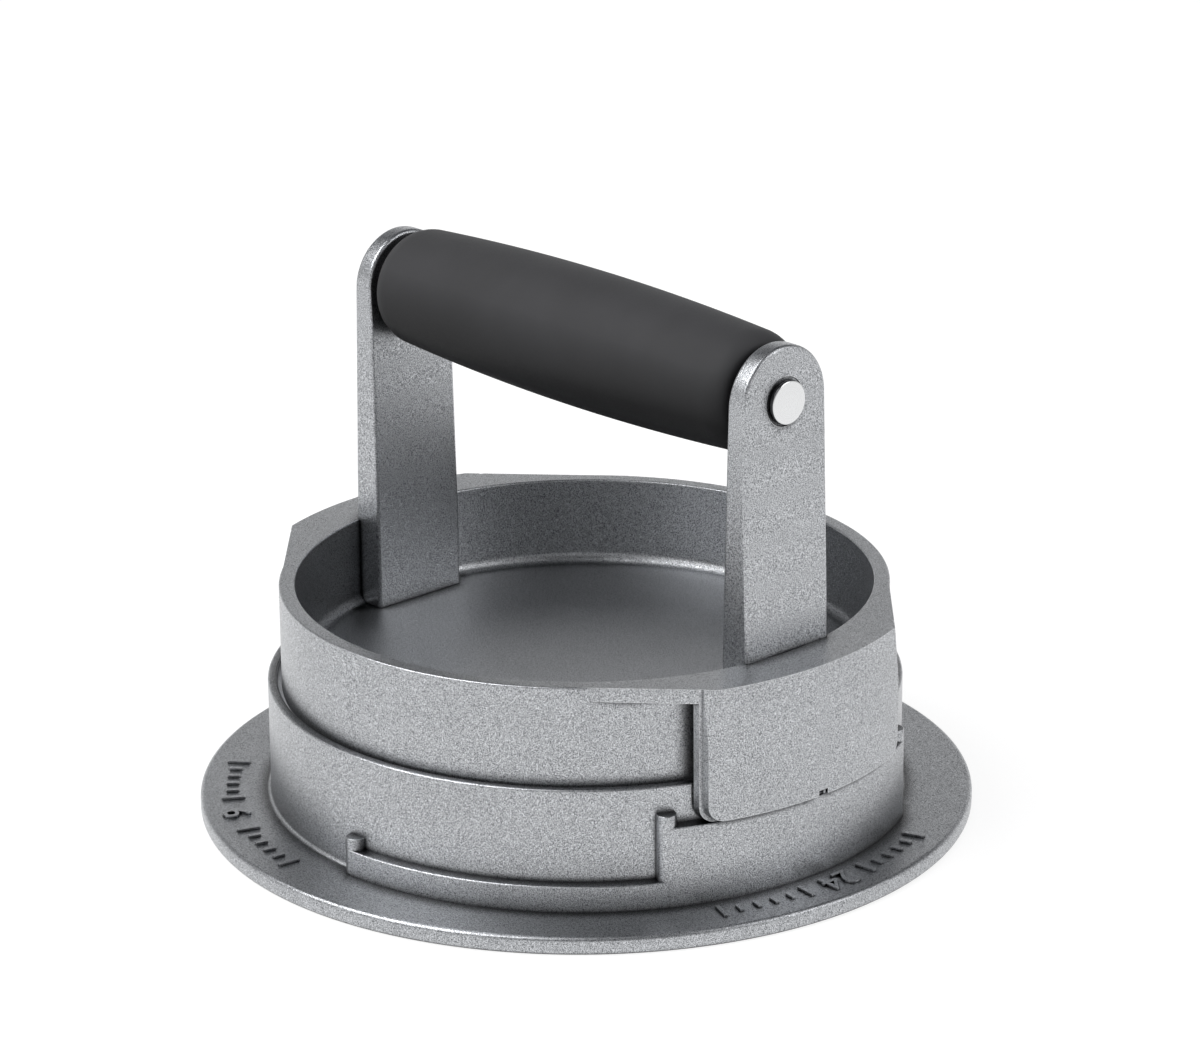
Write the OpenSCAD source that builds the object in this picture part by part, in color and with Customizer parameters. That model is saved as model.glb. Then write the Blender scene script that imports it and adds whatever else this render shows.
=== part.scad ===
// Burger press: a flanged mould ring, and a cast plunger with a bail grip that seats on stepped ledges
// outside the ring. Which pair of ledges the skirts stand on sets how thick the patty comes out.
// Origin at the centre of the ring's base, +Z up, grip along X. Sizes in millimetres.

/* [Mould ring] */
// Bore of the mould ring, the patty's diameter
bore_d = 114; // [90:1:150]
// Thickness of the ring's wall
ring_wall = 1.8; // [1.4:0.1:2.4]
// Height of the ring over its base
ring_h = 25.5; // [24.5:0.1:27]
// How far the flange reaches past the bore's wall
flange_reach = 15; // [11:0.5:20]
// Thickness of the flange
flange_t = 3.4; // [2.6:0.1:4]
// Rounding of the flange's outer edges
flange_edge = 1.2; // [0.4:0.1:1.2]
// Fillet where the wall stands on the flange
foot_fillet = 1.5; // [0.5:0.1:2]

/* [Stop ledges] */
// Height of the low pair of ledges over the base
low_ledge_z = 8.2; // [7:0.1:10]
// Height of the high pair of ledges over the base
high_ledge_z = 18.4; // [16:0.1:19]
// How far the ledges stand out from the wall
ledge_out = 2.4; // [2:0.1:3]
// Angle from one stop post to the next
ledge_span = 57.5; // [54:0.5:60]
// Width of a stop post
post_w = 3.6; // [2.4:0.1:4.5]
// Rise of a stop post over the ledge beside it
post_rise = 2.2; // [1.5:0.1:3]

/* [Plunger] */
// Gap between the plunger's side and the bore
side_gap = 0.75; // [0.5:0.05:1.5]
// Height of the plunger's side wall over its pressing face
drum_h = 20; // [19:0.5:24]
// Thickness of the plunger's side wall
drum_wall = 3; // [2.4:0.1:4]
// Thickness of the pressing plate
plate_t = 3.2; // [2.4:0.1:4]
// Fillet inside the pan, where its wall meets the plate
pan_fillet = 2; // [1:0.5:3]

/* [Ridges] */
// Number of ridge rings under the plate
ridge_count = 3; // [1:1:3]
// Radius of the innermost ridge ring
ridge_first_r = 17.3; // [12:0.1:18]
// Distance from one ridge ring to the next
ridge_pitch = 14.75; // [12:0.05:14.8]
// Depth of a ridge
ridge_h = 2.75; // [1.5:0.05:3.5]
// Width of a ridge's crest
ridge_crest_w = 1.6; // [1:0.1:2.5]
// Width of a ridge at its foot
ridge_foot_w = 5.6; // [4:0.1:7]

/* [Lugs and skirts] */
// Gap between a skirt and the ring's wall
skirt_gap = 0.7; // [0.4:0.05:1]
// Thickness of a skirt
skirt_t = 2.8; // [2.4:0.1:3.2]
// How far a skirt hangs below the pressing face
skirt_drop = 5.3; // [4.5:0.1:6]
// Half of a skirt's angle round the ring
skirt_half = 22.85; // [16:0.05:23]
// Rounding of a skirt's lower corners
skirt_corner = 3; // [1:0.5:4]
// Thickness of a skirt's inner layer, from its inside to the mould's parting line
skirt_inner_t = 1.3; // [1:0.1:1.6]
// How far the outer layer stops short of the inner one, at the skirt's sides and foot
skirt_step = 0.5; // [0.2:0.1:0.8]
// Width of the gate notch in the middle of a skirt's foot
gate_w = 2.2; // [1.4:0.1:3]
// Height of the gate notch
gate_h = 1; // [0.6:0.1:1.5]
// Thickness of the tab that carries a skirt
tab_t = 2.6; // [1.8:0.1:3]
// Angle by which the web's face leans outward on its way down
web_draft = 4.5; // [3:0.5:8]

/* [Arms] */
// Height of the pin's axis over the pressing face
pin_h = 66; // [58:1:75]
// Half of an arm's width at its foot
arm_half_foot = 10.2; // [9:0.1:12]
// Half of an arm's width at the pin, which is its top rounding
arm_half_top = 10; // [8:0.1:10]
// Thickness of an arm at the plunger's rim
arm_t_foot = 6.5; // [5.5:0.1:7]
// Thickness of an arm at the pin
arm_t_top = 4.2; // [4:0.1:5]
// How much the arm's inner face leans outward from rim to pin
arm_lean = 1.2; // [0.8:0.1:1.4]
// Depth of the round seat under each head of the pin
seat_depth = 0.25; // [0.2:0.05:0.5]

/* [Grip] */
// Diameter of the grip at its middle
grip_mid_d = 25; // [22:0.5:30]
// Diameter of the grip where its ends start to round
grip_end_d = 22.2; // [18:0.1:22.2]
// Diameter of the grip's flat end
grip_face_d = 17; // [15:0.5:17.5]
// Length of the rounding at each end of the grip
grip_round = 4.5; // [3:0.5:6]
// Outside diameter of the grip's core tube
core_d = 12; // [10:0.5:13]

/* [Pin and washers] */
// Diameter of the pin
pin_d = 6; // [5:0.5:7]
// Radial clearance of the grip's core on the pin
pin_clear = 0.05; // [0.02:0.01:0.08]
// Diameter of the pin's head and of its cap
head_d = 8; // [7.5:0.5:9]
// Thickness of the pin's head and of its cap
head_t = 1.45; // [1.2:0.05:2]
// Diameter of the washers beside the grip
washer_d = 14; // [12:0.5:15]
// Thickness of a washer
washer_t = 0.9; // [0.6:0.1:1]
// End float of the grip between the washers, at each end
end_float = 0.2; // [0.1:0.05:0.4]

/* [Hidden] */

// Facets of the large rounds, the small rounds and one quarter of a rounded edge
large_facets = 180;
small_facets = 64;
edge_steps = 5;
// Depth to which joined shapes run into each other
bite = 0.4;
// Small rounding of machined and cast edges
fine_edge = 0.5;
// How far the web's face stands proud of the corner that it ends at
web_proud = 0.05;

// Mould ring and ledges
bore_r = bore_d / 2;
wall_r = bore_r + ring_wall;
flange_r = bore_r + flange_reach;
ledge_r = wall_r + ledge_out;
post_half = asin(post_w / 2 / ledge_r);
post_set_in = 0.06;
// Posts stand at these counts of the ledge span, from the middle of the high ledge
post_places = [[-1.5, low_ledge_z], [-0.5, high_ledge_z], [0.5, high_ledge_z]];

// Heights of the plunger while its skirts stand on the high ledges
plate_z = high_ledge_z + skirt_drop;
skirt_z = high_ledge_z;
floor_z = plate_z + plate_t;
rim_z = plate_z + drum_h;
pin_z = plate_z + pin_h;

// Radii of the plunger and its skirts
drum_r = bore_r - side_gap;
pan_r = drum_r - drum_wall;
skirt_in_r = wall_r + skirt_gap;
skirt_out_r = skirt_in_r + skirt_t;
skirt_split_r = skirt_in_r + skirt_inner_t;
skirt_half_w = skirt_out_r * sin(skirt_half);
ridge_steps = 8;

// Places along X of the grip, the washers, the arms and the pin's ends
arm_set_in = 0.05;
arm_in_foot = pan_r - arm_t_foot - arm_set_in;
arm_in_pin = arm_in_foot + arm_lean;
arm_out_foot = arm_in_foot + arm_t_foot;
arm_out_pin = arm_in_pin + arm_t_top;
boss_x = arm_in_pin - seat_depth;
seat_x = arm_out_pin - seat_depth;
seat_gap = 0.5;
seat_d = head_d + 2 * seat_gap;
grip_x = boss_x - washer_t - end_float;
grip_flank_x = grip_x - grip_round;
barrel_steps = 10;
spigot_d = pin_d / 2;
spigot_l = pin_d;

// Points along an arc, from angle a0 to angle a1
function arc(x, z, r, a0, a1) =
    [for (i = [0 : edge_steps]) let (a = a0 + (a1 - a0) * i / edge_steps) [x + r * cos(a), z + r * sin(a)]];

// One side of a ridge as a soft S from the plate down to the crest, way is 1 going down and 0 going up
function ridge_side(r, way) =
    [for (i = [0 : ridge_steps])
        let (t = i / ridge_steps, down = way == 1 ? t : 1 - t, run = (ridge_foot_w - ridge_crest_w) / 2)
        [r + (2 * t - 1) * run / 2, plate_z - ridge_h * (1 - cos(180 * down)) / 2]];

function ridge(r) =
    let (middle = (ridge_foot_w + ridge_crest_w) / 4)
    concat(ridge_side(r - middle, 1), ridge_side(r + middle, 0));

// Radius of the barrel at a distance along it
function barrel_r(x) = (grip_mid_d - (grip_mid_d - grip_end_d) * pow(x / grip_flank_x, 2)) / 2;

module ring_body() {
    rotate_extrude($fn = large_facets)
        polygon(concat(
            [[bore_r, 0]],
            arc(flange_r - flange_edge, flange_edge, flange_edge, -90, 0),
            arc(flange_r - flange_edge, flange_t - flange_edge, flange_edge, 0, 90),
            arc(wall_r + foot_fillet, flange_t + foot_fillet, foot_fillet, -90, -180),
            arc(wall_r - fine_edge, ring_h - fine_edge, fine_edge, 0, 90),
            arc(bore_r + fine_edge, ring_h - fine_edge, fine_edge, 90, 180)
        ));
}

// A step round the wall from angle a0 to angle a1, with a flat top at height z
module ledge(a0, a1, z) {
    rotate([0, 0, a0])
        rotate_extrude(angle = a1 - a0, $fn = large_facets)
            polygon(concat(
                [[wall_r - bite, flange_t - bite], [ledge_r, flange_t - bite]],
                arc(ledge_r - fine_edge, z - fine_edge, fine_edge, 0, 90),
                [[wall_r - bite, z]]
            ));
}

// A post with a flat back against the wall and a round nose
module post(a, z) {
    nose = post_w / 2;
    nose_x = ledge_r - post_set_in - nose;
    rotate([0, 0, a])
        translate([0, 0, flange_t - bite]) {
            translate([nose_x, 0, 0]) cylinder(r = nose, h = z - flange_t + bite, $fn = small_facets);
            translate([wall_r - bite, -nose, 0])
                cube([nose_x - wall_r + bite, post_w, z - flange_t + bite]);
        }
}

module mould_ring() {
    color([0.71, 0.72, 0.74])
        union() {
            ring_body();
            for (turn = [0, 180]) {
                ledge(turn - 1.5 * ledge_span, turn - 0.5 * ledge_span - post_half / 4, low_ledge_z);
                ledge(turn - 0.5 * ledge_span, turn + 0.5 * ledge_span, high_ledge_z);
                for (place = post_places) post(turn + place[0] * ledge_span, place[1] + post_rise);
            }
        }
}

module plunger() {
    color([0.74, 0.75, 0.77])
        rotate_extrude($fn = large_facets)
            polygon(concat(
                [[0, plate_z]],
                [for (i = [0 : ridge_count - 1]) each ridge(ridge_first_r + i * ridge_pitch)],
                arc(drum_r - fine_edge, plate_z + fine_edge, fine_edge, -90, 0),
                [[drum_r, rim_z]],
                [[pan_r, rim_z]],
                arc(pan_r - pan_fillet, floor_z + pan_fillet, pan_fillet, 0, -90),
                [[0, floor_z]]
            ));
}

// Corner of the skirt's inner layer at the parting line, where the web's straight side ends, and the
// place where that side dips into the drum
web_corner_r = skirt_split_r;
web_corner_a = asin(skirt_half_w / web_corner_r);
web_root_r = drum_r - bite;
web_root_a = web_corner_a + acos(web_root_r / web_corner_r);
web_corner = [web_corner_r * cos(web_corner_a), web_corner_r * sin(web_corner_a)];
web_root = [web_root_r * cos(web_root_a), web_root_r * sin(web_root_a)];
web_run = web_corner - web_root;
web_heading = atan2(web_run[1], web_run[0]);

// Plan of the web beside the skirt on the +Y side, with stock left on for its sloping face
module web_plan() {
    stock = bite * [-sin(web_heading), cos(web_heading)];
    difference() {
        polygon([
            web_corner + stock,
            web_root + stock,
            [pan_r * cos(skirt_half / 2), pan_r * sin(skirt_half / 2)]
        ]);
        circle(r = drum_r, $fn = large_facets);
    }
}

// Everything outside the web's face, a plane that runs on across the corner of the skirt's outer layer
// and fades out as it goes down
module web_cut() {
    translate([web_corner[0], web_corner[1], rim_z])
        rotate([0, 0, web_heading])
            rotate([web_draft, 0, 0])
                translate([-flange_r, web_proud, -rim_z])
                    cube([2 * flange_r, flange_r, 2 * rim_z]);
}

// Face view of a layer of the skirt with round lower corners, drawn in by the inset at sides and foot
module skirt_face(inset) {
    half_w = skirt_half_w - inset;
    foot_z = skirt_z + inset;
    polygon(concat(
        [[half_w, rim_z], [-half_w, rim_z]],
        arc(skirt_corner - half_w, foot_z + skirt_corner, skirt_corner, 180, 270),
        arc(half_w - skirt_corner, foot_z + skirt_corner, skirt_corner, 270, 360)
    ));
}

// A layer bent round the ring: the face view cut from a revolved section, given as radius and height
module skirt_layer(inset, section) {
    intersection() {
        rotate([90, 0, 90]) linear_extrude(flange_r) skirt_face(inset);
        rotate_extrude($fn = large_facets) polygon(section);
    }
}

module lug() {
    color([0.74, 0.75, 0.77])
        difference() {
            union() {
                for (side = [0, 1])
                    mirror([0, side, 0])
                        translate([0, 0, rim_z - tab_t]) linear_extrude(tab_t) web_plan();
                skirt_layer(0, [
                    [drum_r, rim_z - tab_t], [skirt_in_r, rim_z - tab_t], [skirt_in_r, skirt_z - bite],
                    [skirt_split_r, skirt_z - bite], [skirt_split_r, rim_z], [drum_r, rim_z]
                ]);
                skirt_layer(skirt_step, [
                    [skirt_split_r - bite, skirt_z - bite], [skirt_out_r, skirt_z - bite],
                    [skirt_out_r, rim_z], [skirt_split_r - bite, rim_z]
                ]);
            }
            for (side = [0, 1]) mirror([0, side, 0]) web_cut();
            translate([skirt_split_r, -gate_w / 2, skirt_z - bite])
                cube([skirt_t, gate_w, skirt_step + gate_h + bite]);
        }
}

module right_lug() {
    lug();
}

module left_lug() {
    rotate([0, 0, 180]) lug();
}

// Face view of an arm, wide at the foot and full round over the pin
module arm_face() {
    circle(r = arm_half_top, $fn = small_facets);
    polygon([
        [-arm_half_foot, floor_z - pin_z], [arm_half_foot, floor_z - pin_z],
        [arm_half_top, 0], [-arm_half_top, 0]
    ]);
}

// Edge view of an arm, which thins towards the top
module arm_edge() {
    over = pin_z + arm_half_top + bite;
    past = (over - rim_z) / (pin_z - rim_z);
    polygon([
        [arm_in_foot, floor_z], [arm_out_foot, floor_z], [arm_out_foot, rim_z],
        [arm_out_foot + (arm_out_pin - arm_out_foot) * past, over],
        [arm_in_foot + arm_lean * past, over], [arm_in_foot, rim_z]
    ]);
}

module arm() {
    color([0.76, 0.77, 0.79])
        difference() {
            union() {
                intersection() {
                    translate([arm_in_foot - bite, 0, pin_z])
                        rotate([90, 0, 90]) linear_extrude(arm_t_foot + 2 * bite) arm_face();
                    translate([0, arm_half_foot + bite, 0])
                        rotate([90, 0, 0]) linear_extrude(2 * (arm_half_foot + bite)) arm_edge();
                }
                translate([boss_x, 0, pin_z])
                    rotate([0, 90, 0]) cylinder(d = washer_d, h = arm_t_top / 2, $fn = small_facets);
            }
            translate([boss_x - bite, 0, pin_z])
                rotate([0, 90, 0]) cylinder(d = pin_d, h = arm_t_foot, $fn = small_facets);
            translate([seat_x, 0, pin_z])
                rotate([0, 90, 0]) cylinder(d = seat_d, h = arm_t_foot, $fn = small_facets);
            translate([0, 0, floor_z - bite]) pan_wall_space();
        }
}

// The plunger's wall and fillet, which the arm's foot stands inside
module pan_wall_space() {
    difference() {
        cylinder(r = flange_r, h = rim_z - floor_z + bite, $fn = large_facets);
        translate([0, 0, -bite]) cylinder(r = pan_r, h = rim_z - floor_z + 3 * bite, $fn = large_facets);
    }
    rotate_extrude($fn = large_facets)
        polygon(concat(
            [[pan_r + bite, 0], [pan_r + bite, bite + pan_fillet]],
            arc(pan_r - pan_fillet, bite + pan_fillet, pan_fillet, 0, -90),
            [[pan_r - pan_fillet, 0]]
        ));
}

module right_arm() {
    arm();
}

module left_arm() {
    rotate([0, 0, 180]) arm();
}

module handle_pin() {
    color([0.93, 0.94, 0.95])
        translate([0, 0, pin_z])
            rotate([0, 90, 0])
                difference() {
                    union() {
                        translate([0, 0, -seat_x]) cylinder(d = pin_d, h = 2 * seat_x, $fn = small_facets);
                        translate([0, 0, seat_x]) cylinder(d = head_d, h = head_t, $fn = small_facets);
                    }
                    translate([0, 0, -seat_x - bite])
                        cylinder(d = spigot_d, h = spigot_l + bite, $fn = small_facets);
                }
}

module pin_cap() {
    color([0.93, 0.94, 0.95])
        translate([0, 0, pin_z])
            rotate([0, -90, 0]) {
                translate([0, 0, seat_x]) cylinder(d = head_d, h = head_t, $fn = small_facets);
                translate([0, 0, seat_x - spigot_l + bite])
                    cylinder(d = spigot_d, h = spigot_l, $fn = small_facets);
            }
}

module washer() {
    color([0.12, 0.12, 0.13])
        translate([boss_x - washer_t, 0, pin_z])
            rotate([0, 90, 0])
                difference() {
                    cylinder(d = washer_d, h = washer_t, $fn = small_facets);
                    translate([0, 0, -bite]) cylinder(d = pin_d, h = washer_t + 2 * bite, $fn = small_facets);
                }
}

module right_washer() {
    washer();
}

module left_washer() {
    rotate([0, 0, 180]) washer();
}

module grip_core() {
    color([0.55, 0.56, 0.58])
        translate([-grip_x, 0, pin_z])
            rotate([0, 90, 0])
                difference() {
                    cylinder(d = core_d, h = 2 * grip_x, $fn = small_facets);
                    translate([0, 0, -bite])
                        cylinder(r = pin_d / 2 + pin_clear, h = 2 * (grip_x + bite), $fn = small_facets);
                }
}

module grip_sleeve() {
    drop = (grip_end_d - grip_face_d) / 2;
    half = concat(
        [for (i = [0 : barrel_steps]) let (x = grip_flank_x * i / barrel_steps) [barrel_r(x), x]],
        [for (i = [1 : edge_steps]) let (a = 90 * i / edge_steps)
            [grip_end_d / 2 - drop * (1 - cos(a)), grip_flank_x + grip_round * sin(a)]]
    );
    color([0.11, 0.11, 0.12])
        translate([0, 0, pin_z])
            rotate([0, 90, 0])
                rotate_extrude($fn = large_facets)
                    polygon(concat(
                        [[core_d / 2, grip_x], [core_d / 2, -grip_x]],
                        [for (i = [len(half) - 1 : -1 : 1]) [half[i][0], -half[i][1]]],
                        half
                    ));
}

mould_ring();
plunger();
left_lug();
right_lug();
left_arm();
right_arm();
handle_pin();
pin_cap();
left_washer();
right_washer();
grip_core();
grip_sleeve();
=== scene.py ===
import math

import bmesh
import bpy
from mathutils import Matrix, Vector


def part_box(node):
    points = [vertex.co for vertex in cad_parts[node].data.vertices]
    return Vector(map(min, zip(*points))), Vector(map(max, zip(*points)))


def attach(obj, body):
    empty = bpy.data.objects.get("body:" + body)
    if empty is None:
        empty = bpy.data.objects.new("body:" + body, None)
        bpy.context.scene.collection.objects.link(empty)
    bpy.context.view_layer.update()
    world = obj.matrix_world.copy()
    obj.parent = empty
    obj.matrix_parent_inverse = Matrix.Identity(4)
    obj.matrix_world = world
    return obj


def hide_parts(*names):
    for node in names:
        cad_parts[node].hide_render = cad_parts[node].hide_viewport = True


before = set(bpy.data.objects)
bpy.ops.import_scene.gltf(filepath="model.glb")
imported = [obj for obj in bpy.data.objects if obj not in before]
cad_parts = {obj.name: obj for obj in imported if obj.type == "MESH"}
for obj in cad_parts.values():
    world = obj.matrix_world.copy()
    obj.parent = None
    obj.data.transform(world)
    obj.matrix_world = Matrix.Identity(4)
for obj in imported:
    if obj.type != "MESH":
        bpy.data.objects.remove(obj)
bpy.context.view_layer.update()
print("frame loaded")

mm = 0.001
turn = 2 * math.pi
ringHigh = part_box("mould_ring")[1]
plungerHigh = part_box("plunger")[1]
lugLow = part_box("right_lug")[0]
pinLow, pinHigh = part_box("handle_pin")
capLow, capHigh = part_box("pin_cap")
washerLow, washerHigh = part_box("right_washer")
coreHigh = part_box("grip_core")[1]
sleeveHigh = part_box("grip_sleeve")[1]
pinZ = (pinLow.z + pinHigh.z) / 2
weld = 1e-7  # points closer than this are one
touch = 1e-6  # heights closer than this are level
smoothBelow = math.radians(32)  # edges that bend less are shaded smooth
flatWeight = 100  # how much large faces steer the shading at their edges


# Mesh helpers
def roundCorners(corners, steps=5):
    # corners are (x, y, rounding) in order round a closed outline
    points = []
    for i, (x, y, rounding) in enumerate(corners):
        here = Vector((x, y))
        if rounding == 0:
            points.append(here)
            continue
        toBefore = (Vector(corners[i - 1][:2]) - here).normalized()
        toAfter = (Vector(corners[(i + 1) % len(corners)][:2]) - here).normalized()
        half = toBefore.angle(toAfter) / 2
        reach = rounding / math.tan(half)
        centre = here + (toBefore + toAfter).normalized() * (rounding / math.sin(half))
        first = (here + toBefore * reach - centre).normalized()
        last = (here + toAfter * reach - centre).normalized()
        for step in range(steps + 1):
            points.append(centre + first.slerp(last, step / steps) * rounding)
    return points


def arcPoints(radius, first, last, steps, centre=(0, 0)):
    angles = [first + (last - first) * i / steps for i in range(steps + 1)]
    return [Vector(centre) + Vector((math.cos(a), math.sin(a))) * radius for a in angles]


def outlineEdges(bm, points, place):
    verts = [bm.verts.new(place(p)) for p in points]
    return verts, [bm.edges.new((verts[i - 1], verts[i])) for i in range(len(verts))]


def cleanUp(bm):
    bmesh.ops.remove_doubles(bm, verts=bm.verts, dist=weld)
    bmesh.ops.dissolve_degenerate(bm, edges=bm.edges, dist=weld)
    bmesh.ops.delete(bm, geom=[e for e in bm.edges if not e.link_faces], context="EDGES")
    bmesh.ops.recalc_face_normals(bm, faces=bm.faces)


def closeHoles(bm):
    bmesh.ops.holes_fill(bm, edges=[e for e in bm.edges if e.is_boundary], sides=0)


def spinSolid(points, segments, angle=turn, start=0.0):
    # points are (radius, height); a part turn gets flat end faces
    bm = bmesh.new()
    verts, edges = outlineEdges(bm, points, lambda p: (p[0], 0, p[1]))
    full = angle == turn
    bmesh.ops.spin(bm, geom=verts + edges, cent=(0, 0, 0), axis=(0, 0, 1), dvec=(0, 0, 0),
                   angle=angle, steps=segments, use_merge=full, use_duplicate=False)
    if not full:
        closeHoles(bm)
    bmesh.ops.rotate(bm, verts=bm.verts, cent=(0, 0, 0), matrix=Matrix.Rotation(start, 3, "Z"))
    cleanUp(bm)
    return bm


def slabSolid(points, place, direction):
    # a flat outline pushed out along a direction
    bm = bmesh.new()
    verts, edges = outlineEdges(bm, points, place)
    face = bm.faces.new(verts)
    grown = bmesh.ops.extrude_face_region(bm, geom=[face])["geom"]
    moved = [v for v in grown if isinstance(v, bmesh.types.BMVert)]
    bmesh.ops.translate(bm, verts=moved, vec=direction)
    cleanUp(bm)
    return bm


def bevelSharp(bm, width, segments=3, minAngle=35):
    least = math.radians(minAngle)
    sharp = [e for e in bm.edges if e.is_manifold and e.calc_face_angle() > least]
    bmesh.ops.bevel(bm, geom=sharp, offset=width, affect="EDGES", segments=segments,
                    profile=0.5, material=-1, clamp_overlap=True)
    cleanUp(bm)
    return bm


def splitAt(bm, point, normal, **settings):
    bmesh.ops.bisect_plane(bm, geom=bm.verts[:] + bm.edges[:] + bm.faces[:], dist=weld,
                           plane_co=point, plane_no=normal, **settings)


def makeObject(name, bm):
    mesh = bpy.data.meshes.new(name)
    bm.to_mesh(mesh)
    bm.free()
    obj = bpy.data.objects.new(name, mesh)
    bpy.context.scene.collection.objects.link(obj)
    return obj


def bakedMesh(obj):
    # the object's mesh with its modifiers applied, or a text's letters as a mesh
    bpy.context.view_layer.update()
    graph = bpy.context.evaluated_depsgraph_get()
    return bpy.data.meshes.new_from_object(obj.evaluated_get(graph))


def combine(base, others, operation="UNION"):
    # exact boolean of the base with each other solid, applied straight away
    for other in others:
        modifier = base.modifiers.new("combine", "BOOLEAN")
        modifier.operation = operation
        modifier.solver = "EXACT"
        modifier.object = other
        shaped = bakedMesh(base)
        base.modifiers.clear()
        base.data = shaped
        bpy.data.objects.remove(other)
    return base


def finishPiece(obj, body, material, nodes):
    # dresses a piece and rides it on its body in place of its CAD nodes
    mesh = obj.data
    mesh.name = obj.name
    mesh.materials.clear()
    mesh.materials.append(material)
    for polygon in mesh.polygons:
        polygon.use_smooth = True
        polygon.material_index = 0
    mesh.set_sharp_from_angle(angle=smoothBelow)
    weighted = obj.modifiers.new("flatFaces", "WEIGHTED_NORMAL")
    weighted.keep_sharp = True
    weighted.weight = flatWeight
    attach(obj, body)
    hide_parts(*nodes)
    return obj


def alongX(bm):
    # stands a solid that was spun about Z along X, at the height of the pin
    bmesh.ops.rotate(bm, verts=bm.verts, cent=(0, 0, 0),
                     matrix=Matrix.Rotation(math.pi / 2, 3, "Y"))
    bmesh.ops.translate(bm, verts=bm.verts, vec=(0, 0, pinZ))
    return bm


# Node helpers
def addGroup(name, inputs, outputs):
    group = bpy.data.node_groups.new(name, "ShaderNodeTree")
    for label, kind, value in inputs:
        socket = group.interface.new_socket(name=label, in_out="INPUT", socket_type=kind)
        socket.default_value = value
    for label, kind in outputs:
        group.interface.new_socket(name=label, in_out="OUTPUT", socket_type=kind)
    return group, group.nodes.new("NodeGroupInput"), group.nodes.new("NodeGroupOutput")


def addNode(tree, kind, values=None, **settings):
    node = tree.nodes.new(kind)
    for key, value in settings.items():
        setattr(node, key, value)
    for key, value in (values or {}).items():
        node.inputs[key].default_value = value
    return node


def math2(tree, operation, a, b=None, clamp=False):
    node = addNode(tree, "ShaderNodeMath", operation=operation, use_clamp=clamp)
    for index, value in enumerate((a, b)):
        if value is None:
            continue
        if isinstance(value, (int, float)):
            node.inputs[index].default_value = value
        else:
            tree.links.new(value, node.inputs[index])
    return node.outputs[0]


def mapRange(tree, value, low, high, toLow=0.0, toHigh=1.0):
    node = addNode(tree, "ShaderNodeMapRange", {1: low, 2: high, 3: toLow, 4: toHigh})
    tree.links.new(value, node.inputs[0])
    return node.outputs[0]


wearMask = {
    "radius": 0.5 * mm,
    "breakup": 900.0,
    "samples": 6,
    "bendNone": 0.97,
    "bendFull": 0.8,
    "detail": 3.0,
    "noiseLow": 0.3,
    "noiseHigh": 0.62,
    "least": 0.45,
}


def buildEdgeWear():
    # 1 on outer and inner edges, thinned by noise, and 0 elsewhere
    tree, given, out = addGroup("edgeWear", [("Radius", "NodeSocketFloat", wearMask["radius"]),
                                             ("Breakup", "NodeSocketFloat", wearMask["breakup"])],
                                [("Mask", "NodeSocketFloat")])
    bevel = addNode(tree, "ShaderNodeBevel", samples=wearMask["samples"])
    tree.links.new(given.outputs["Radius"], bevel.inputs["Radius"])
    geometry = addNode(tree, "ShaderNodeNewGeometry")
    dot = addNode(tree, "ShaderNodeVectorMath", operation="DOT_PRODUCT")
    tree.links.new(bevel.outputs[0], dot.inputs[0])
    tree.links.new(geometry.outputs["Normal"], dot.inputs[1])
    edge = mapRange(tree, dot.outputs["Value"], wearMask["bendNone"], wearMask["bendFull"])
    coordinates = addNode(tree, "ShaderNodeTexCoord")
    noise = addNode(tree, "ShaderNodeTexNoise", {"Detail": wearMask["detail"]})
    tree.links.new(coordinates.outputs["Object"], noise.inputs["Vector"])
    tree.links.new(given.outputs["Breakup"], noise.inputs["Scale"])
    thinned = mapRange(tree, noise.outputs["Fac"], wearMask["noiseLow"], wearMask["noiseHigh"],
                       wearMask["least"], 1.0)
    mask = math2(tree, "MULTIPLY", edge, thinned, True)
    tree.links.new(mask, out.inputs["Mask"])
    return tree


creviceMask = {"reach": 1.5 * mm, "samples": 6, "open": 0.85, "closed": 0.3}


def buildCrevice():
    # 1 deep in inner corners and narrow gaps, and 0 on open faces; the cast material paints shade
    # with it
    tree, given, out = addGroup("creviceShade", [("Reach", "NodeSocketFloat", creviceMask["reach"])],
                                [("Mask", "NodeSocketFloat")])
    sky = addNode(tree, "ShaderNodeAmbientOcclusion", samples=creviceMask["samples"])
    tree.links.new(given.outputs["Reach"], sky.inputs["Distance"])
    mask = mapRange(tree, sky.outputs["AO"], creviceMask["open"], creviceMask["closed"])
    tree.links.new(mask, out.inputs["Mask"])
    return tree


overhangMask = {
    "reach": 1.5 * mm,
    "samples": 8,
    "lookUp": 0.8,  # how far the view tips up from the face's normal
    "open": 0.82,
    "closed": 0.5,
    "slopeNone": 0.6,
    "slopeFull": 0.3,
}


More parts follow.
